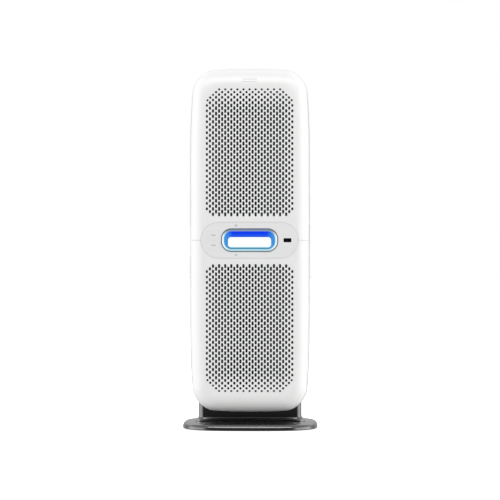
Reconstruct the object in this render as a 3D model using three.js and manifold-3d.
// A free-standing tower air purifier with two stacked air paths.
//
// Each air path draws room air through a perforated front cover, a pre-filter, a carbon filter and
// a HEPA filter, and a centrifugal fan blows it out of the housing. The covers hook into the housing
// at its top and bottom, are held by magnets at the middle, and tilt forward. An oval control panel
// sits between the covers. The body stands on a pedestal neck and a weighted base.
//
// Units are millimetres. +Z is up, the front faces -Y, and the origin is on the floor under the
// middle of the base.

import * as THREE from "three";
import { mergeVertices } from "three/addons/utils/BufferGeometryUtils.js";
import Module from "manifold-3d";

const wasm = await Module();
wasm.setup();

// ---------------------------------------------------------------------------------------------
// Driving dimensions
// ---------------------------------------------------------------------------------------------

const GAP = 0.3; // clearance between pieces that touch

// Body outline, seen from the front
const SEAM_Z = 439.5; // height of the split between the two covers
const BODY_HALF_WIDTH = 139.5;
const BODY_HALF_HEIGHT = 397.5;
const CORNER_RADIUS = 46;
const SIDE_BOW = 11.5; // how far the sides curve in by the ends
const END_CROWN = 9.5; // how far the ends curve down by the sides

// Body depth
const BODY_FRONT = -125;
const SPLIT_Y = -60; // where the covers meet the housing
const BODY_REAR = 125;

// Ranges that take in a whole wall, for cuts right through it
const BODY_TOP = SEAM_Z + BODY_HALF_HEIGHT;
const FRONT_WALL = [BODY_FRONT - 5, BODY_FRONT + 15];
const REAR_WALL = [BODY_REAR - 15, BODY_REAR + 5];
const TOP_WALL = [BODY_TOP - 40, BODY_TOP + 10];

// Walls
const COVER_INSET = 3; // the housing stands proud of the covers by this much
const COVER_WALL = 2.5;
const COVER_EDGE = 38; // rounding of the covers' front edges
const HOUSING_WALL = 3;
const HOUSING_EDGE = 45; // rounding of the housing's rear edges

// Perforated field of each cover
const SLOT_PITCH_X = 7;
const SLOT_PITCH_Z = 12.5;
const SLOT_WIDTH = 5.05;
const SLOT_LENGTH = 9.8;
const SLOT_COLUMNS = 29;
const SLOT_ROWS = 24;
const FIRST_ROW = 59.5; // from the seam to the first row of slots

// Control panel
const PANEL = { length: 225, height: 83, hairline: 0.4 };
const WINDOW = { length: 131.2, height: 54, corner: 24 };
const BAR = { length: 99, height: 23.6, corner: 7, drop: 4.8 };
const KEY = { x: -83, spread: 11.6, length: 30, height: 20, corner: 8.5, travel: 0.8 };
const RECEIVER = { x: 87, length: 18, height: 9.4, corner: 2.2 };
const INDICATOR = { x: -31, spread: 33.9, radius: 2.8 };

// Filters, measured from the seam
const BAY_NEAR = 50;
const BAY_FAR = 357.5;
const BAY_HALF_WIDTH = 108.5;
const BAY_FRONT = -112;

// Fans
const FAN_SPREAD = 205; // from the seam to each fan's axis
const IMPELLER_RADIUS = 90;
const CASING_FRONT = -42;
const CASING_REAR = 40;

// Stand
const NECK_HALF_WIDTH = 120;
const NECK_HALF_DEPTH = 55;
const BASE_HALF_WIDTH = 157.5;
const BASE_HALF_DEPTH = 150;
const BASE_BOTTOM = 2.5;
const BASE_RIM_TOP = 16.5;
const BASE_DOME = 4; // rise of the base's top between its rim and the neck
const FOOT = { radius: 9, x: 92, y: 84 };

// ---------------------------------------------------------------------------------------------
// Materials
// ---------------------------------------------------------------------------------------------

const finish = (color, roughness, metalness = 0) => () =>
  new THREE.MeshStandardMaterial({ color, roughness, metalness });

const whitePlastic = finish("#f1f1f0", 0.42);
const greyPlastic = finish("#d3d4d5", 0.45);
const framePlastic = finish("#c9cacb", 0.55);
const panelPlastic = finish("#e1e2e3", 0.38);
const darkPlastic = finish("#2a2c2f", 0.5);
const blackGloss = finish("#0b0b0c", 0.12);
const windowBlack = finish("#050506", 0.08);
const bezelGrey = finish("#5a5f66", 0.35);
const blueLens = finish("#1f5fe8", 0.25);
const whiteGlow = finish("#f6fbff", 0.3);
const filterPaper = finish("#eceae4", 0.9);
const carbonBlack = finish("#1b1b1c", 0.85);
const meshGrey = finish("#3a3c3e", 0.7);
const foamGrey = finish("#4b4c4e", 0.95);
const rubberBlack = finish("#151515", 0.85);
const steel = finish("#9a9c9e", 0.4, 0.9);
const magnetMetal = finish("#b9bbbd", 0.3, 0.9);
const boardGreen = finish("#1d5a37", 0.5);
const cableBlack = finish("#17181a", 0.6);

// ---------------------------------------------------------------------------------------------
// Solids: three.js geometry, joined and cut with manifold-3d
// ---------------------------------------------------------------------------------------------

// Six times the signed volume of a closed mesh: negative when its faces point in.
function signedVolume(points, triangles) {
  const corner = [new THREE.Vector3(), new THREE.Vector3(), new THREE.Vector3()];
  let sum = 0;
  for (let i = 0; i < triangles.length; i += 3) {
    corner.forEach((vector, k) => vector.fromArray(points, 3 * triangles[i + k]));
    sum += corner[0].dot(corner[1].clone().cross(corner[2]));
  }
  return sum;
}

// A closed geometry as a solid, whichever way its faces were wound.
function solid(geometry) {
  geometry.deleteAttribute("normal");
  geometry.deleteAttribute("uv");
  const merged = mergeVertices(geometry, 1e-4);
  const vertProperties = new Float32Array(merged.attributes.position.array);
  const triVerts = new Uint32Array(merged.index.array);
  if (signedVolume(vertProperties, triVerts) < 0) {
    for (let i = 0; i < triVerts.length; i += 3) {
      [triVerts[i], triVerts[i + 1]] = [triVerts[i + 1], triVerts[i]];
    }
  }
  return new wasm.Manifold(new wasm.Mesh({ numProp: 3, vertProperties, triVerts }));
}

function geometryOf(body) {
  const { vertProperties, triVerts } = body.getMesh();
  const geometry = new THREE.BufferGeometry();
  geometry.setAttribute("position", new THREE.BufferAttribute(vertProperties, 3));
  geometry.setIndex(new THREE.BufferAttribute(triVerts, 1));
  geometry.computeVertexNormals();
  return geometry;
}

const joined = (bodies) => bodies.reduce((whole, body) => whole.add(body));
const cut = (body, tools) => tools.reduce((rest, tool) => rest.subtract(tool), body);

// A box between two corners, given as ranges along X, Y and Z.
function block([x0, x1], [y0, y1], [z0, z1]) {
  const geometry = new THREE.BoxGeometry(x1 - x0, y1 - y0, z1 - z0);
  geometry.translate((x0 + x1) / 2, (y0 + y1) / 2, (z0 + z1) / 2);
  return solid(geometry);
}

// A cylinder with its axis along Y.
function drum(radius, [y0, y1], x, z, sides = 24) {
  const geometry = new THREE.CylinderGeometry(radius, radius, y1 - y0, sides);
  geometry.translate(x, (y0 + y1) / 2, z);
  return solid(geometry);
}

// A cylinder with its axis along Z.
function post(radius, [z0, z1], x, y, sides = 16) {
  const geometry = new THREE.CylinderGeometry(radius, radius, z1 - z0, sides);
  geometry.rotateX(Math.PI / 2);
  geometry.translate(x, y, (z0 + z1) / 2);
  return solid(geometry);
}

// An outline drawn in X and Z, extruded from yFront to yRear.
function prismY(outline, [yFront, yRear], curveSegments = 6) {
  const geometry = new THREE.ExtrudeGeometry(outline, {
    depth: yRear - yFront,
    bevelEnabled: false,
    curveSegments,
  });
  geometry.rotateX(Math.PI / 2);
  geometry.translate(0, yRear, 0);
  return solid(geometry);
}

// An outline drawn in X and Y, extruded from z0 to z1.
function prismZ(outline, [z0, z1], curveSegments = 6) {
  const geometry = new THREE.ExtrudeGeometry(outline, {
    depth: z1 - z0,
    bevelEnabled: false,
    curveSegments,
  });
  geometry.translate(0, 0, z0);
  return solid(geometry);
}

// An outline drawn in Y and Z, extruded from x0 to x1.
function prismX(outline, [x0, x1], curveSegments = 6) {
  const geometry = new THREE.ExtrudeGeometry(outline, {
    depth: x1 - x0,
    bevelEnabled: false,
    curveSegments,
  });
  const turn = new THREE.Matrix4().makeBasis(
    new THREE.Vector3(0, 1, 0),
    new THREE.Vector3(0, 0, 1),
    new THREE.Vector3(1, 0, 0),
  );
  geometry.applyMatrix4(turn);
  geometry.translate(x0, 0, 0);
  return solid(geometry);
}

// A turned shape: its profile of [radius, y] points goes round the line through (x, z) along Y.
function turned(profile, x, z, sides = 32) {
  const points = profile.map(([radius, y]) => new THREE.Vector2(radius, y));
  const geometry = new THREE.LatheGeometry(points, sides);
  geometry.translate(x, 0, z);
  return solid(geometry);
}

// A round cable along points in the body's frame.
function cable(points, radius, steps, sides = 8) {
  const section = new THREE.Shape();
  for (let i = 0; i < sides; i += 1) {
    const angle = (2 * Math.PI * i) / sides;
    const method = i === 0 ? "moveTo" : "lineTo";
    section[method](radius * Math.cos(angle), radius * Math.sin(angle));
  }
  const path = new THREE.CatmullRomCurve3(points.map((point) => new THREE.Vector3(...point)));
  return solid(
    new THREE.ExtrudeGeometry(section, { steps, bevelEnabled: false, extrudePath: path }),
  );
}

// A rectangle with round corners, centred at (u, v). Half its height as the corner makes a stadium.
function roundedRect(u, v, width, height, corner) {
  const r = Math.min(corner, height / 2 - 0.01, width / 2 - 0.01);
  const [left, right] = [u - width / 2 + r, u + width / 2 - r];
  const [low, high] = [v - height / 2 + r, v + height / 2 - r];
  const shape = new THREE.Shape();
  shape.absarc(right, low, r, -Math.PI / 2, 0);
  shape.absarc(right, high, r, 0, Math.PI / 2);
  shape.absarc(left, high, r, Math.PI / 2, Math.PI);
  shape.absarc(left, low, r, Math.PI, 1.5 * Math.PI);
  return shape;
}

const stadium = (u, v, length, height) => roundedRect(u, v, length, height, height / 2);

function polygon(points) {
  return new THREE.Shape(points.map(([u, v]) => new THREE.Vector2(u, v)));
}

// A closed solid through a stack of rings that all have the same number of points.
function loft(rings) {
  const count = rings[0].length;
  const points = rings.flat();
  const triangles = [];
  for (let level = 0; level + 1 < rings.length; level += 1) {
    for (let i = 0; i < count; i += 1) {
      const a = level * count + i;
      const b = level * count + ((i + 1) % count);
      triangles.push(a, b, b + count, a, b + count, a + count);
    }
  }
  for (const [level, way] of [[0, -1], [rings.length - 1, 1]]) {
    const centre = new THREE.Vector3();
    rings[level].forEach((point) => centre.addScaledVector(point, 1 / count));
    points.push(centre);
    for (let i = 0; i < count; i += 1) {
      const a = level * count + i;
      const b = level * count + ((i + 1) % count);
      triangles.push(points.length - 1, way > 0 ? a : b, way > 0 ? b : a);
    }
  }
  const geometry = new THREE.BufferGeometry().setFromPoints(points);
  geometry.setIndex(triangles);
  return solid(geometry);
}

// ---------------------------------------------------------------------------------------------
// Body outline and pillow shape
// ---------------------------------------------------------------------------------------------

// The body's outline in X and Z at depth y, inset from the housing's outer wall.
// It is a rounded rectangle whose sides bow and whose ends crown.
function bodyRing(inset, y) {
  const halfWidth = BODY_HALF_WIDTH - inset;
  const halfHeight = BODY_HALF_HEIGHT - inset;
  const corner = CORNER_RADIUS - 0.5 * inset;
  const cornerSteps = 4;
  const sideStops = [0.6, 0, -0.6];
  const endStops = [0.5, 0, -0.5];
  const flat = [];
  for (const [sx, sz, start] of [[1, 1, 0], [-1, 1, 1], [-1, -1, 2], [1, -1, 3]]) {
    for (let i = 0; i <= cornerSteps; i += 1) {
      const angle = (start + i / cornerSteps) * (Math.PI / 2);
      const x = sx * (halfWidth - corner) + corner * Math.cos(angle);
      const z = sz * (halfHeight - corner) + corner * Math.sin(angle);
      flat.push([x, z]);
    }
    if (start % 2 === 0) {
      const end = halfWidth - corner;
      endStops.forEach((stop) => flat.push([sx * stop * end, sz * halfHeight]));
    } else {
      sideStops.forEach((stop) => flat.push([sx * halfWidth, sz * stop * halfHeight]));
    }
  }
  return flat.map(([x, z]) => {
    const across = x / BODY_HALF_WIDTH;
    const up = z / BODY_HALF_HEIGHT;
    const bow = SIDE_BOW * across * up ** 6;
    const crown = END_CROWN * up * Math.abs(across) ** 3;
    return new THREE.Vector3(x - bow, y, SEAM_Z + z - crown);
  });
}

// A block of the body's outline with a rounded end, from the flat end face back to openY.
function pillow(inset, endY, edge, openY, steps = 3) {
  const inward = Math.sign(openY - endY);
  const rings = [];
  for (let i = 0; i <= steps; i += 1) {
    const angle = (Math.PI / 2) * (1 - i / steps);
    const ringInset = inset + edge * (1 - Math.cos(angle));
    rings.push(bodyRing(ringInset, endY + inward * edge * (1 - Math.sin(angle))));
  }
  rings.push(bodyRing(inset, openY));
  return loft(rings);
}

const above = (z) => block([-200, 200], [-200, 200], [z, 900]);
const below = (z) => block([-200, 200], [-200, 200], [-50, z]);

// ---------------------------------------------------------------------------------------------
// Front covers and control panel fascia: one pillow shell, split in three
// ---------------------------------------------------------------------------------------------

function frontShell() {
  const outer = pillow(COVER_INSET, BODY_FRONT, COVER_EDGE, SPLIT_Y - GAP);
  const innerInset = COVER_INSET + COVER_WALL;
  const innerEdge = COVER_EDGE - COVER_WALL;
  const inner = pillow(innerInset, BODY_FRONT + COVER_WALL, innerEdge, SPLIT_Y + 5);
  return outer.subtract(inner);
}

// The perforations as long slots: every second column of holes, at its real place and width, is one
// slot crossed by a bridge. Columns near the sides end early, which rounds the field's corners.
function coverSlots(side) {
  const bridge = 6;
  const parts = 2;
  const slots = [];
  for (let column = 0; column < SLOT_COLUMNS; column += 2) {
    const fromEdge = Math.min(column, SLOT_COLUMNS - 1 - column);
    const near = FIRST_ROW + (Math.max(0, 2 - fromEdge) * SLOT_PITCH_Z) / 2;
    const lastRow = FIRST_ROW + (SLOT_ROWS - 1) * SLOT_PITCH_Z;
    const far = lastRow - (Math.max(0, 4 - fromEdge) * SLOT_PITCH_Z) / 2;
    const start = near - SLOT_LENGTH / 2;
    const length = (far + SLOT_LENGTH / 2 - start - bridge * (parts - 1)) / parts;
    const x = (column - (SLOT_COLUMNS - 1) / 2) * SLOT_PITCH_X;
    for (let part = 0; part < parts; part += 1) {
      const z0 = start + part * (length + bridge);
      const span = [SEAM_Z + side * z0, SEAM_Z + side * (z0 + length)].sort((a, b) => a - b);
      slots.push(block([x - SLOT_WIDTH / 2, x + SLOT_WIDTH / 2], FRONT_WALL, span));
    }
  }
  return slots;
}

const HOOK = { x: [62, 78], front: -66, rear: -52, drop: 15, thickness: 3 };

// Two hooks at the cover's far edge reach through the inner frame behind the housing's rim.
function coverHooks(side) {
  const farEdge = SEAM_Z + side * (BODY_HALF_HEIGHT - COVER_INSET);
  const tip = farEdge - side * (HOOK.drop - 4);
  const order = (a, b) => [Math.min(a, b), Math.max(a, b)];
  return [-1, 1].flatMap((hand) => {
    const across = order(hand * HOOK.x[0], hand * HOOK.x[1]);
    const root = farEdge - side * 3;
    return [
      block(across, [HOOK.front, SPLIT_Y - 1], order(tip, root)),
      block(across, [SPLIT_Y - 3, HOOK.rear], order(tip, tip + side * HOOK.thickness)),
    ];
  });
}

const MAGNET = { x: 122, rise: 11, radius: 4, length: 4, bossHalf: 6, bossFront: -72 };
const MAGNET_REAR = SPLIT_Y - 0.8;

const magnetZ = (side) => SEAM_Z + side * MAGNET.rise;

// The boss that holds a magnet reaches from the cover's side wall.
function magnetBoss(side, hand) {
  const wall = BODY_HALF_WIDTH - COVER_INSET - 1;
  const across = [hand * (MAGNET.x - MAGNET.bossHalf), hand * wall].sort((a, b) => a - b);
  const high = [magnetZ(side) - MAGNET.bossHalf, magnetZ(side) + MAGNET.bossHalf];
  const pocketFront = MAGNET_REAR - MAGNET.length - GAP;
  const pocket = drum(MAGNET.radius + GAP, [pocketFront, SPLIT_Y], hand * MAGNET.x, magnetZ(side), 12);
  return block(across, [MAGNET.bossFront, MAGNET_REAR], high).subtract(pocket);
}

function coverMagnet(side, hand) {
  const span = [MAGNET_REAR - MAGNET.length, MAGNET_REAR];
  return drum(MAGNET.radius, span, hand * MAGNET.x, magnetZ(side), 12);
}

function frontCover(shell, side) {
  const half = side > 0 ? above(SEAM_Z + GAP) : below(SEAM_Z - GAP);
  const notch = prismY(stadium(0, SEAM_Z, PANEL.length, PANEL.height), FRONT_WALL, 7);
  const blank = shell.intersect(half).subtract(notch);
  const bosses = [-1, 1].map((hand) => magnetBoss(side, hand));
  return cut(joined([blank, ...coverHooks(side), ...bosses]), coverSlots(side));
}

const windowRect = (grow) => {
  const width = WINDOW.length + 2 * grow;
  return roundedRect(0, SEAM_Z, width, WINDOW.height + 2 * grow, WINDOW.corner + grow);
};

const keyRect = (side, grow) =>
  roundedRect(
    KEY.x,
    SEAM_Z + side * KEY.spread,
    KEY.length + 2 * grow,
    KEY.height + 2 * grow,
    KEY.corner + grow,
  );

const receiverRect = (grow) => {
  const width = RECEIVER.length + 2 * grow;
  return roundedRect(RECEIVER.x, SEAM_Z, width, RECEIVER.height + 2 * grow, RECEIVER.corner + grow);
};

function controlPanel(shell) {
  const length = PANEL.length - 2 * PANEL.hairline;
  const height = PANEL.height - 2 * PANEL.hairline;
  const blank = shell.intersect(prismY(stadium(0, SEAM_Z, length, height), FRONT_WALL, 7));
  const holes = [
    prismY(windowRect(GAP), FRONT_WALL, 3),
    prismY(receiverRect(GAP), FRONT_WALL, 2),
    prismY(keyRect(1, GAP), FRONT_WALL, 2),
    prismY(keyRect(-1, GAP), FRONT_WALL, 2),
    ...[-1, 1].map((side) =>
      drum(INDICATOR.radius + GAP, FRONT_WALL, INDICATOR.x, SEAM_Z + side * INDICATOR.spread, 10),
    ),
  ];
  return cut(blank, holes);
}

// ---------------------------------------------------------------------------------------------
// What the control panel carries
// ---------------------------------------------------------------------------------------------

const TRIM = 2; // width of the dark trim round the light window
const LENS_RIM = 4.5;
const LENS_FLOOR = BODY_FRONT + 4; // the floor of the light window's trough
const SKIN = BODY_FRONT - 0.1; // small trim stands this far proud of the fascia
const TRIM_REAR = BODY_FRONT + 3.5;
const BOARD_Y = [-113.6, -112];
const TRAY = { length: 219, height: 77, front: -118.4, rear: -90, wall: 2.5 };

function windowTrim() {
  const opening = prismY(windowRect(-TRIM), FRONT_WALL, 3);
  return prismY(windowRect(0), [BODY_FRONT - 0.4, LENS_FLOOR + 0.5], 3).subtract(opening);
}

function lightLens() {
  const tray = prismY(windowRect(-TRIM - GAP), [BODY_FRONT + 0.2, LENS_FLOOR + 5], 3);
  const trough = prismY(windowRect(-TRIM - GAP - LENS_RIM), [FRONT_WALL[0], LENS_FLOOR], 3);
  return tray.subtract(trough);
}

function diffuserBar() {
  const z = SEAM_Z - BAR.drop;
  const depth = [BODY_FRONT + 0.8, LENS_FLOOR - GAP];
  return prismY(roundedRect(0, z, BAR.length, BAR.height, BAR.corner), depth, 4);
}

const KEY_FLANGE = [BODY_FRONT + 3.5, BODY_FRONT + 4.5];
const KEY_STEM_END = BODY_FRONT + 5.9;
const SWITCH_FRONT = BODY_FRONT + 8;

// The cap stands in its hole in the fascia; the flange behind keeps it there; the stem works the
// switch.
function keyCap(side) {
  const z = SEAM_Z + side * KEY.spread;
  return joined([
    prismY(keyRect(side, 0), [BODY_FRONT, KEY_FLANGE[0] + 0.2], 2),
    prismY(keyRect(side, 1), KEY_FLANGE, 2),
    drum(2, [KEY_FLANGE[1] - 0.2, KEY_STEM_END], KEY.x, z, 6),
  ]);
}

// The plunger's tip is where the stem stops when its key is pressed right in.
function keySwitch(side) {
  const z = SEAM_Z + side * KEY.spread;
  const can = block([KEY.x - 3, KEY.x + 3], [SWITCH_FRONT, BOARD_Y[0] - GAP], [z - 3, z + 3]);
  return can.add(drum(1.6, [KEY_STEM_END + KEY.travel + GAP, SWITCH_FRONT + 0.1], KEY.x, z, 8));
}

function controlTray() {
  const { length, height, front, rear, wall } = TRAY;
  const inner = stadium(0, SEAM_Z, length - 2 * wall, height - 2 * wall);
  const cup = prismY(stadium(0, SEAM_Z, length, height), [front, rear], 5).subtract(
    prismY(inner, [front - 5, rear - wall], 5),
  );
  const posts = [-88, 88].flatMap((x) =>
    [-15, 15].map((dz) => drum(3, [BOARD_Y[1] + GAP, rear - 1], x, SEAM_Z + dz, 6)),
  );
  return joined([cup, ...posts]).subtract(drum(CABLE_HOLE, [rear - 10, rear + 10], CABLE.x, CABLE.z, 10));
}

// ---------------------------------------------------------------------------------------------
// Wiring
// ---------------------------------------------------------------------------------------------

const CABLE_HOLE = 5.5;
const CABLE = { x: -30, z: SEAM_Z, radius: 2.5 };
const POWER_BOARD = { y: [60, 61.6], halfWidth: 62, halfHeight: 46 };
const POWER_FRONT = POWER_BOARD.y[0] - 2 * GAP;

function controlCable() {
  const { x, z, radius } = CABLE;
  const route = [
    [x, BOARD_Y[1] + GAP, z],
    [x, -90, z],
    [x, -60, z],
    [x - 6, -20, z + 6],
    [x - 4, 25, z + 5],
    [x, POWER_FRONT - 9, z],
    [x, POWER_FRONT, z],
  ];
  return cable(route, radius, 8);
}

// ---------------------------------------------------------------------------------------------
// Inner frame, filters
// ---------------------------------------------------------------------------------------------

const PLATE_Y = [SPLIT_Y, SPLIT_Y + 4];
const SCOOP = { depth: 10, rear: -39, halfHeight: 36.5, corner: 10, wall: 3 };
const STRIKE = { x: [116, 127], halfHeight: 20, thickness: 1.4 };

// A rectangle in X and Z over one filter bay, between two distances from the seam.
function bayRect(side, halfWidth, near, far, corner) {
  const middle = SEAM_Z + (side * (near + far)) / 2;
  return roundedRect(0, middle, 2 * halfWidth, far - near, corner);
}

function bayWalls(side) {
  const wall = 2.5;
  const outer = bayRect(side, BAY_HALF_WIDTH + wall, BAY_NEAR - wall, BAY_FAR + wall, 20);
  const inner = bayRect(side, BAY_HALF_WIDTH, BAY_NEAR, BAY_FAR, 17.5);
  const tube = prismY(outer, [BAY_FRONT, SPLIT_Y + 1], 3);
  return tube.subtract(prismY(inner, [BAY_FRONT - 5, SPLIT_Y + 5], 3));
}

function hookNotches(side) {
  const order = (a, b) => [Math.min(a, b), Math.max(a, b)];
  const tip = SEAM_Z + side * (BODY_HALF_HEIGHT - COVER_INSET - HOOK.drop + 1);
  return [-1, 1].map((hand) =>
    block(
      order(hand * (HOOK.x[0] - 2), hand * (HOOK.x[1] + 2)),
      [SPLIT_Y - 1, SPLIT_Y + 6],
      order(tip, SEAM_Z + side * (BODY_HALF_HEIGHT + 1)),
    ),
  );
}

function innerFrame() {
  const rimInset = HOUSING_WALL + GAP;
  const plate = loft([bodyRing(rimInset, PLATE_Y[0]), bodyRing(rimInset, PLATE_Y[1])]);
  const bridge = block([-109, 109], [-89.5, -87], [SEAM_Z - 48, SEAM_Z + 48]);
  const body = joined([plate, bayWalls(1), bayWalls(-1), bridge]);
  const windows = [-1, 1].map((side) =>
    prismY(bayRect(side, BAY_HALF_WIDTH - 10, BAY_NEAR + 10, BAY_FAR - 10, 12), [-66, -50], 3),
  );
  const high = SCOOP.halfHeight + SCOOP.wall + GAP;
  const reach = BODY_HALF_WIDTH - SCOOP.depth - SCOOP.wall - GAP;
  const scoopNotches = [-1, 1].map((hand) =>
    block(
      [hand * reach, hand * 150].sort((a, b) => a - b),
      [-70, -50],
      [SEAM_Z - high, SEAM_Z + high],
    ),
  );
  const strikePockets = [-1, 1].map((hand) =>
    block(
      [hand * (STRIKE.x[0] - GAP), hand * 150].sort((a, b) => a - b),
      [SPLIT_Y - 1, SPLIT_Y + STRIKE.thickness + GAP],
      [SEAM_Z - STRIKE.halfHeight - GAP, SEAM_Z + STRIKE.halfHeight + GAP],
    ),
  );
  const cableHole = drum(CABLE_HOLE, [-95, -50], CABLE.x, CABLE.z, 12);
  return cut(body, [
    ...windows,
    ...scoopNotches,
    ...strikePockets,
    ...hookNotches(1),
    ...hookNotches(-1),
    cableHole,
  ]);
}

function strikePlate(hand) {
  const reach = BODY_HALF_WIDTH - SCOOP.depth - SCOOP.wall - GAP;
  const across = [hand * STRIKE.x[0], hand * Math.min(STRIKE.x[1], reach)].sort((a, b) => a - b);
  const high = [SEAM_Z - STRIKE.halfHeight, SEAM_Z + STRIKE.halfHeight];
  return block(across, [SPLIT_Y, SPLIT_Y + STRIKE.thickness], high);
}

// A frame with cross bars, which carries the washable mesh. The mesh closes each cell behind a
// shallow recess.
function preFilter(side) {
  const [near, far, halfWidth, border, bar] = [50, 355, 101, 5, 3];
  const depth = [-119.8, -115.8];
  const frame = prismY(bayRect(side, halfWidth, near, far, 26), depth, 3);
  const [columns, rows] = [3, 4];
  const cellWidth = (2 * (halfWidth - border) - (columns - 1) * bar) / columns;
  const cellHeight = (far - near - 2 * border - (rows - 1) * bar) / rows;
  const cells = [];
  for (let column = 0; column < columns; column += 1) {
    for (let row = 0; row < rows; row += 1) {
      const x = -halfWidth + border + cellWidth / 2 + column * (cellWidth + bar);
      const z = SEAM_Z + side * (near + border + cellHeight / 2 + row * (cellHeight + bar));
      const across = [x - cellWidth / 2, x + cellWidth / 2];
      cells.push(block(across, [-125, depth[1] - 1.2], [z - cellHeight / 2, z + cellHeight / 2]));
    }
  }
  return cut(frame, cells);
}

const FILTER = { halfWidth: 106, near: 52.5, far: 355 };

// A cassette of activated carbon: a frame with a recessed bed on both faces.
function carbonFilter(side) {
  const { halfWidth, near, far } = FILTER;
  const depth = [-111.5, -104.3];
  const frame = prismY(bayRect(side, halfWidth, near, far, 14), depth, 3);
  const bed = bayRect(side, halfWidth - 7, near + 7, far - 7, 9);
  return cut(frame, [
    prismY(bed, [-113, depth[0] + 1.2], 2),
    prismY(bed, [depth[1] - 1.2, -103], 2),
  ]);
}

// A frame round a block of pleated paper, whose folds run up and down.
function hepaFilter(side) {
  const { halfWidth, near, far } = FILTER;
  const depth = [-104, -66];
  const frame = prismY(bayRect(side, halfWidth, near, far, 14), depth, 3);
  const high = [SEAM_Z + side * (near + 9), SEAM_Z + side * (far - 9)].sort((a, b) => a - b);
  const folds = 13;
  const width = (2 * (halfWidth - 9)) / folds;
  const pleats = (mouth, tip) => {
    const edge = [[-halfWidth + 9, mouth]];
    for (let fold = 0; fold < folds; fold += 1) {
      const x = -halfWidth + 9 + fold * width;
      edge.push([x + width * 0.12, tip], [x + width * 0.88, mouth + (tip - mouth) * 0.45]);
    }
    edge.push([halfWidth - 9, mouth]);
    return prismZ(polygon(edge), high);
  };
  return cut(frame, [pleats(depth[0] - 2, depth[0] + 6), pleats(depth[1] + 2, depth[1] - 6)]);
}

function filterSeal(side) {
  const { halfWidth, near, far } = FILTER;
  const span = [-66 + GAP, SPLIT_Y - GAP];
  const ring = prismY(bayRect(side, halfWidth, near, far, 14), span, 3);
  return ring.subtract(prismY(bayRect(side, halfWidth - 6, near + 6, far - 6, 10), [-70, -50], 3));
}

function dustSensor() {
  const can = block([113.5, 127], [-86, SPLIT_Y - GAP], [500, 545]);
  return can.subtract(block([116, 124], [-90, -76], [512, 533]));
}

// ---------------------------------------------------------------------------------------------
// Fans
// ---------------------------------------------------------------------------------------------

const CASING_WALL = 2;
const DUCT_END = 372; // from the seam to the open end of the casing's duct
const DUCT_HALF_WIDTH = 84;
const INLET_RADIUS = 70;
const MOTOR_RADIUS = 36;
const MOTOR_REAR = CASING_REAR + 34;

const fanZ = (side) => SEAM_Z + side * FAN_SPREAD;

// The casing's outline: a spiral that widens round the impeller and runs out into the duct.
// shrink moves every wall in, and the duct's end moves out, so the duct stays open.
function casingOutline(side, shrink) {
  const [tongueAngle, turns, tongueRadius, widestRadius] = [58, 16, 97, 127];
  const points = [];
  for (let i = 0; i <= turns; i += 1) {
    const share = i / turns;
    const angle = THREE.MathUtils.degToRad(tongueAngle + share * (360 - tongueAngle));
    const radius = tongueRadius + share * (widestRadius - tongueRadius) - shrink;
    points.push([radius * Math.cos(angle), radius * Math.sin(angle)]);
  }
  const end = DUCT_END - FAN_SPREAD + (shrink > 0 ? 5 : 0);
  points.push([DUCT_HALF_WIDTH - shrink, end], [-DUCT_HALF_WIDTH + shrink, end]);
  return polygon(points.map(([x, z]) => [x, fanZ(side) + side * z]));
}

function fanCasing(side) {
  const shell = prismY(casingOutline(side, 0), [CASING_FRONT, CASING_REAR]);
  const room = prismY(casingOutline(side, CASING_WALL), [
    CASING_FRONT + CASING_WALL,
    CASING_REAR - CASING_WALL,
  ]);
  const inlet = drum(INLET_RADIUS + 6, [CASING_FRONT - 5, CASING_FRONT + 5], 0, fanZ(side), 24);
  const motorHole = drum(MOTOR_RADIUS + 1.5, [CASING_REAR - 5, CASING_REAR + 5], 0, fanZ(side), 16);
  return cut(shell, [room, inlet, motorHole]);
}

// A trumpet that leads the air into the impeller's eye; its flange lies on the casing's front.
function bellMouth(side) {
  const flangeFront = CASING_FRONT - GAP - 2;
  const profile = [
    [86, flangeFront],
    [86, CASING_FRONT - GAP],
    [74, CASING_FRONT - GAP],
    [64, CASING_FRONT + 6.5],
    [62, CASING_FRONT + 6.5],
    [65, CASING_FRONT + 1],
    [72, flangeFront],
    [86, flangeFront],
  ];
  return turned(profile, 0, fanZ(side), 20);
}

const SHAFT_RADIUS = 4;
const SHAFT_BORE = 4.35;

// A centrifugal impeller with backward-curved blades between a back disc and a front ring.
function impeller(side) {
  const z = fanZ(side);
  const [front, back] = [-34, 24];
  const disc = drum(IMPELLER_RADIUS, [back - 2, back], 0, z, 21);
  const ring = turned(
    [
      [66, front],
      [IMPELLER_RADIUS, front + 6],
      [IMPELLER_RADIUS, front + 8],
      [66, front + 2],
      [66, front],
    ],
    0,
    z,
    21,
  );
  const hub = drum(13, [2, back - 1], 0, z, 16);
  const bladeCount = 7;
  const blades = [];
  for (let blade = 0; blade < bladeCount; blade += 1) {
    const start = (2 * Math.PI * blade) / bladeCount;
    const face = [];
    const rear = [];
    for (let step = 0; step <= 2; step += 1) {
      const share = step / 2;
      const radius = 50 + share * (IMPELLER_RADIUS - 1.5 - 50);
      const angle = start + side * 0.62 * share ** 1.2;
      const thick = 1.8 / radius;
      face.push([radius * Math.cos(angle), z + radius * Math.sin(angle)]);
      rear.unshift([radius * Math.cos(angle + thick), z + radius * Math.sin(angle + thick)]);
    }
    blades.push(prismY(polygon([...face, ...rear]), [front + 7, back - 1]));
  }
  // Inside the front ring's slope the blades are trimmed back to the ring.
  const throat = turned([[0, front - 2], [66, front - 2], [66, front + 9], [0, front + 9]], 0, z, 21);
  const wheel = joined([disc, hub, ring, ...blades.map((blade) => blade.subtract(throat))]);
  return wheel.subtract(drum(SHAFT_BORE, [-10, 40], 0, z, 16));
}

function motorShaft(side) {
  return drum(SHAFT_RADIUS, [0, 62], 0, fanZ(side), 16);
}

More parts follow.
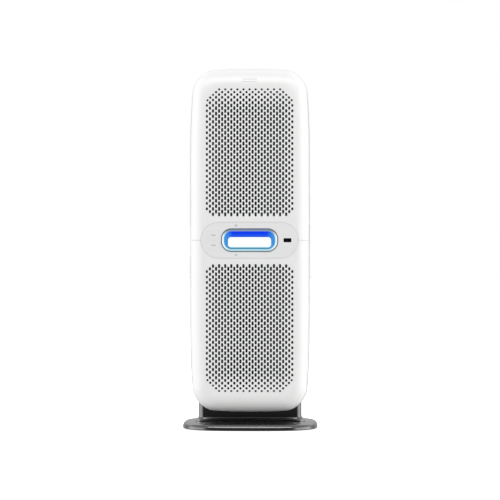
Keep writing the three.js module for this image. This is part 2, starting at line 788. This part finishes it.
// The motor hangs on the casing's rear wall by its flange. Its lead is moulded into its rear.
function fanMotor(side) {
  const z = fanZ(side);
  const flange = drum(46, [CASING_REAR + GAP, CASING_REAR + 3], 0, z, 16);
  const can = drum(MOTOR_RADIUS, [CASING_REAR - 8, MOTOR_REAR], 0, z, 16);
  const bore = drum(SHAFT_BORE, [20, 64], 0, z, 16);
  return joined([flange, can, motorLead(side)]).subtract(bore);
}

// ---------------------------------------------------------------------------------------------
// Rear housing and its grilles
// ---------------------------------------------------------------------------------------------

const TOP_GRILLE = { y: 14, width: 172, depth: 96, corner: 12, slots: 17, pitch: 9.4 };
const REAR_GRILLE = { z: 172, width: 176, height: 108, corner: 14, slots: 11, pitch: 9 };
const OUTLET_SLOT = 5.2;
const INLET = { z: 103, width: 30, height: 21, rear: 126.2 };

function housingShell() {
  const outer = pillow(0, BODY_REAR, HOUSING_EDGE, SPLIT_Y);
  const inner = pillow(
    HOUSING_WALL,
    BODY_REAR - HOUSING_WALL,
    HOUSING_EDGE - HOUSING_WALL,
    SPLIT_Y - 5,
  );
  return outer.subtract(inner);
}

const topGrilleRect = (grow) =>
  roundedRect(
    0,
    TOP_GRILLE.y,
    TOP_GRILLE.width + 2 * grow,
    TOP_GRILLE.depth + 2 * grow,
    TOP_GRILLE.corner + grow,
  );

const rearGrilleRect = (grow) =>
  roundedRect(
    0,
    REAR_GRILLE.z,
    REAR_GRILLE.width + 2 * grow,
    REAR_GRILLE.height + 2 * grow,
    REAR_GRILLE.corner + grow,
  );

// The housing's side is pressed in beside the split, so that fingertips reach behind the covers.
function scoopOutline(grow) {
  const low = SPLIT_Y - 40;
  const rear = SCOOP.rear + grow;
  const height = 2 * (SCOOP.halfHeight + grow);
  return roundedRect((low + rear) / 2, SEAM_Z, rear - low, height, SCOOP.corner + grow);
}

function scoopTool(hand, grow) {
  const floor = BODY_HALF_WIDTH - SCOOP.depth - grow;
  return prismX(scoopOutline(grow), [hand * floor, hand * 160].sort((a, b) => a - b), 3);
}

function rearHousing(shell) {
  const outside = pillow(0, BODY_REAR, HOUSING_EDGE, SPLIT_Y);
  const scoopWalls = [-1, 1].map((hand) => outside.intersect(scoopTool(hand, SCOOP.wall)));
  const body = joined([shell, ...scoopWalls]);
  return cut(body, [
    scoopTool(-1, 0),
    scoopTool(1, 0),
    prismZ(topGrilleRect(GAP), TOP_WALL, 3),
    prismY(rearGrilleRect(GAP), REAR_WALL, 3),
    prismY(roundedRect(0, INLET.z, INLET.width - 4, INLET.height - 4, 2), REAR_WALL, 1),
  ]);
}

function topGrille(shell) {
  const blank = shell.intersect(prismZ(topGrilleRect(0), TOP_WALL, 3));
  const slots = [];
  for (let i = 0; i < TOP_GRILLE.slots; i += 1) {
    const x = (i - (TOP_GRILLE.slots - 1) / 2) * TOP_GRILLE.pitch;
    const depth = TOP_GRILLE.depth - 14;
    slots.push(
      block(
        [x - OUTLET_SLOT / 2, x + OUTLET_SLOT / 2],
        [TOP_GRILLE.y - depth / 2, TOP_GRILLE.y + depth / 2],
        TOP_WALL,
      ),
    );
  }
  return cut(blank, slots);
}

function rearGrille(shell) {
  const half = REAR_GRILLE.width / 2 - 9;
  const blank = shell.intersect(prismY(rearGrilleRect(0), REAR_WALL, 3));
  const slots = [];
  for (let i = 0; i < REAR_GRILLE.slots; i += 1) {
    const z = REAR_GRILLE.z + (i - (REAR_GRILLE.slots - 1) / 2) * REAR_GRILLE.pitch;
    slots.push(block([-half, half], REAR_WALL, [z - OUTLET_SLOT / 2, z + OUTLET_SLOT / 2]));
  }
  return cut(blank, slots);
}

// ---------------------------------------------------------------------------------------------
// Power
// ---------------------------------------------------------------------------------------------

// A two-pole appliance inlet: a flange on the housing's rear, a socket with two round pins.
function mainsInlet() {
  const [bodyWidth, bodyHeight] = [INLET.width - 5, INLET.height - 5];
  const flange = prismY(
    roundedRect(0, INLET.z, INLET.width, INLET.height, 4),
    [BODY_REAR + GAP, INLET.rear + 0.8],
    2,
  );
  const can = prismY(roundedRect(0, INLET.z, bodyWidth, bodyHeight, 2), [106, INLET.rear], 1);
  const socket = prismY(stadium(0, INLET.z, 19, 9), REAR_WALL, 3);
  const pins = [-1, 1].map((hand) => drum(1.2, [109, 123], hand * 4.3, INLET.z, 6));
  return joined([joined([flange, can]).subtract(socket), ...pins]);
}

function powerBoard() {
  const { y, halfWidth, halfHeight } = POWER_BOARD;
  const high = [SEAM_Z - halfHeight, SEAM_Z + halfHeight];
  return joined([
    block([-halfWidth, halfWidth], y, high),
    block([-50, -14], [61, 88], [SEAM_Z - 30, SEAM_Z + 4]),
    block([18, 46], [61, 80], [SEAM_Z - 12, SEAM_Z + 14]),
    drum(9, [61, 90], 2, SEAM_Z + 28, 14),
    drum(6, [61, 82], -34, SEAM_Z + 27, 12),
  ]);
}

function mainsWire() {
  const route = [
    [0, 106 - GAP, INLET.z],
    [0, 101, INLET.z],
    [-2, 95, INLET.z + 14],
    [-10, 98, INLET.z + 50],
    [-30, 104, 230],
    [-46, 104, 330],
    [-54, 96, SEAM_Z - 52],
    [-56, 75, SEAM_Z - 34],
    [-56, POWER_BOARD.y[1] + 2 * GAP, SEAM_Z - 34],
  ];
  return cable(route, 2.5, 14);
}

function motorLead(side) {
  const z = fanZ(side);
  const boardZ = SEAM_Z + side * 36;
  const route = [
    [22, MOTOR_REAR - 3, z],
    [30, MOTOR_REAR + 10, z - side * 8],
    [48, MOTOR_REAR + 14, z - side * 60],
    [56, MOTOR_REAR + 8, z - side * 130],
    [56, POWER_BOARD.y[1] + 9, boardZ],
    [56, POWER_BOARD.y[1] + 2 * GAP, boardZ],
  ];
  return cable(route, 2, 10, 6);
}

// ---------------------------------------------------------------------------------------------
// Stand
// ---------------------------------------------------------------------------------------------

const SUPER_POWER = 3.1; // the base's plan is a superellipse of this power

function superellipseRing(halfWidth, halfDepth, z, power = SUPER_POWER, count = 28) {
  const ring = [];
  for (let i = 0; i < count; i += 1) {
    const angle = (2 * Math.PI * i) / count;
    const [c, s] = [Math.cos(angle), Math.sin(angle)];
    const x = halfWidth * Math.sign(c) * Math.abs(c) ** (2 / power);
    const y = halfDepth * Math.sign(s) * Math.abs(s) ** (2 / power);
    ring.push(new THREE.Vector3(x, y, z));
  }
  return ring;
}

const baseRing = (inset, z) =>
  superellipseRing(BASE_HALF_WIDTH - inset, BASE_HALF_DEPTH - inset, z);

const RIM_RADIUS = 9;

function baseBlank(lift = 0) {
  const rings = [baseRing(1.2, BASE_BOTTOM + lift), baseRing(0, BASE_BOTTOM + 1.2 + lift)];
  for (let i = 0; i <= 2; i += 1) {
    const angle = (i / 2) * (Math.PI / 2);
    const inset = RIM_RADIUS * (1 - Math.cos(angle));
    rings.push(baseRing(inset, BASE_RIM_TOP - RIM_RADIUS * (1 - Math.sin(angle)) + lift));
  }
  rings.push(baseRing(35, BASE_RIM_TOP + 0.6 * BASE_DOME + lift));
  rings.push(baseRing(75, BASE_RIM_TOP + BASE_DOME + lift));
  return loft(rings);
}

const POCKET = { inset: 7, top: 12.5 };
const SCREW = { x: 80, y: 25, shank: 2, head: 4.2, top: 34 };

const screwPlaces = [-1, 1].flatMap((sx) => [-1, 1].map((sy) => [sx * SCREW.x, sy * SCREW.y]));

function basePlate() {
  const pocket = loft([baseRing(POCKET.inset, 0), baseRing(POCKET.inset, POCKET.top)]);
  const holes = screwPlaces.map(([x, y]) => post(SCREW.shank + GAP, [0, 30], x, y, 8));
  return cut(baseBlank(), [pocket, ...holes]);
}

// The steel plate lies over the feet and leaves room for the screws' heads.
function ballastPlate() {
  const inset = POCKET.inset + GAP;
  const plate = loft([baseRing(inset, 4), baseRing(inset, POCKET.top - GAP)]);
  const holes = screwPlaces.map(([x, y]) => post(SCREW.head + 1, [0, 30], x, y, 8));
  return cut(plate, holes);
}

function footPad([x, y]) {
  return post(FOOT.radius, [0, 4 - GAP], x, y, 12);
}

function baseScrew([x, y]) {
  const underside = POCKET.top - GAP;
  const head = post(SCREW.head, [underside - 3, underside], x, y, 8);
  return head.add(post(SCREW.shank, [underside - 1, SCREW.top], x, y, 8));
}

const NECK_POWER = 8;
const NECK_FLARE = 8; // how far the neck's foot spreads over the base

const neckRing = (grow, z) =>
  superellipseRing(NECK_HALF_WIDTH + grow, NECK_HALF_DEPTH + grow, z, NECK_POWER, 28);

// The neck flares where it meets the base, and its top is a cradle for the body.
function pedestalNeck() {
  const foot = BASE_RIM_TOP + BASE_DOME;
  const blank = loft([
    neckRing(NECK_FLARE, foot - 5),
    neckRing(NECK_FLARE, foot + 0.8),
    neckRing(0.4 * NECK_FLARE, foot + 0.4 * NECK_FLARE),
    neckRing(0, foot + 1.2 * NECK_FLARE),
    neckRing(0, 74),
  ]);
  const body = pillow(-GAP, BODY_REAR, HOUSING_EDGE, -75);
  const hollow = loft([neckRing(-4, 0), neckRing(-4, SCREW.top)]);
  const bosses = screwPlaces.map(([x, y]) => post(7, [foot - 5, SCREW.top + 2], x, y, 8));
  const holes = screwPlaces.map(([x, y]) => post(SCREW.shank + GAP, [0, SCREW.top + 1], x, y, 8));
  const outside = cut(blank, [hollow]).add(joined(bosses));
  return cut(outside, [body, baseBlank(GAP), ...holes]);
}

// ---------------------------------------------------------------------------------------------
// The assembly
// ---------------------------------------------------------------------------------------------

const purifier = new THREE.Group();

function add(name, body, material) {
  const mesh = new THREE.Mesh(geometryOf(body), material());
  mesh.name = name;
  purifier.add(mesh);
}

const covers = frontShell();
const housing = housingShell();

add("base_plate", basePlate(), blackGloss);
add("base_ballast", ballastPlate(), steel);
[[1, -1], [-1, -1], [1, 1], [-1, 1]].forEach(([sx, sy], i) => {
  add(`foot_pad_${i + 1}`, footPad([sx * FOOT.x, sy * FOOT.y]), rubberBlack);
});
screwPlaces.forEach((place, i) => add(`base_screw_${i + 1}`, baseScrew(place), steel));
add("pedestal_neck", pedestalNeck(), blackGloss);

add("rear_housing", rearHousing(housing), greyPlastic);
add("top_outlet_grille", topGrille(housing), framePlastic);
add("rear_outlet_grille", rearGrille(housing), framePlastic);
add("mains_inlet", mainsInlet(), darkPlastic);
add("inner_frame", innerFrame(), framePlastic);
add("dust_sensor", dustSensor(), darkPlastic);

for (const [place, side] of [["upper", 1], ["lower", -1]]) {
  add(`${place}_front_cover`, frontCover(covers, side), whitePlastic);
  add(`${place}_prefilter`, preFilter(side), meshGrey);
  add(`${place}_carbon_filter`, carbonFilter(side), carbonBlack);
  add(`${place}_hepa_filter`, hepaFilter(side), filterPaper);
  add(`${place}_filter_seal`, filterSeal(side), foamGrey);
  add(`${place}_bell_mouth`, bellMouth(side), darkPlastic);
  add(`${place}_fan_casing`, fanCasing(side), framePlastic);
  add(`${place}_impeller`, impeller(side), darkPlastic);
  add(`${place}_motor_shaft`, motorShaft(side), steel);
  add(`${place}_fan_motor`, fanMotor(side), steel);
}
for (const [edge, hand] of [["left", -1], ["right", 1]]) {
  add(`upper_${edge}_magnet`, coverMagnet(1, hand), magnetMetal);
  add(`lower_${edge}_magnet`, coverMagnet(-1, hand), magnetMetal);
  add(`${edge}_strike_plate`, strikePlate(hand), steel);
}

add("control_panel", controlPanel(covers), panelPlastic);
add("window_trim", windowTrim(), bezelGrey);
add("light_lens", lightLens(), blueLens);
add("diffuser_bar", diffuserBar(), whiteGlow);
add("receiver_window", prismY(receiverRect(0), [SKIN, TRIM_REAR], 3), windowBlack);
for (const [name, side] of [["upper", 1], ["lower", -1]]) {
  const z = SEAM_Z + side * INDICATOR.spread;
  add(`${name}_indicator`, drum(INDICATOR.radius, [SKIN, TRIM_REAR], INDICATOR.x, z, 10), bezelGrey);
}
for (const [name, side] of [["power", 1], ["speed", -1]]) {
  add(`${name}_key`, keyCap(side), panelPlastic);
  add(`${name}_key_switch`, keySwitch(side), darkPlastic);
}
add("control_tray", controlTray(), framePlastic);
add("control_board", prismY(stadium(0, SEAM_Z, 204, 62), BOARD_Y, 4), boardGreen);
add("led_bar", block([-48, 48], [-115.7, BOARD_Y[0] - GAP], [SEAM_Z - 8, SEAM_Z]), whiteGlow);
add("control_cable", controlCable(), cableBlack);
add("power_board", powerBoard(), boardGreen);
add("mains_wire", mainsWire(), cableBlack);

export default purifier;
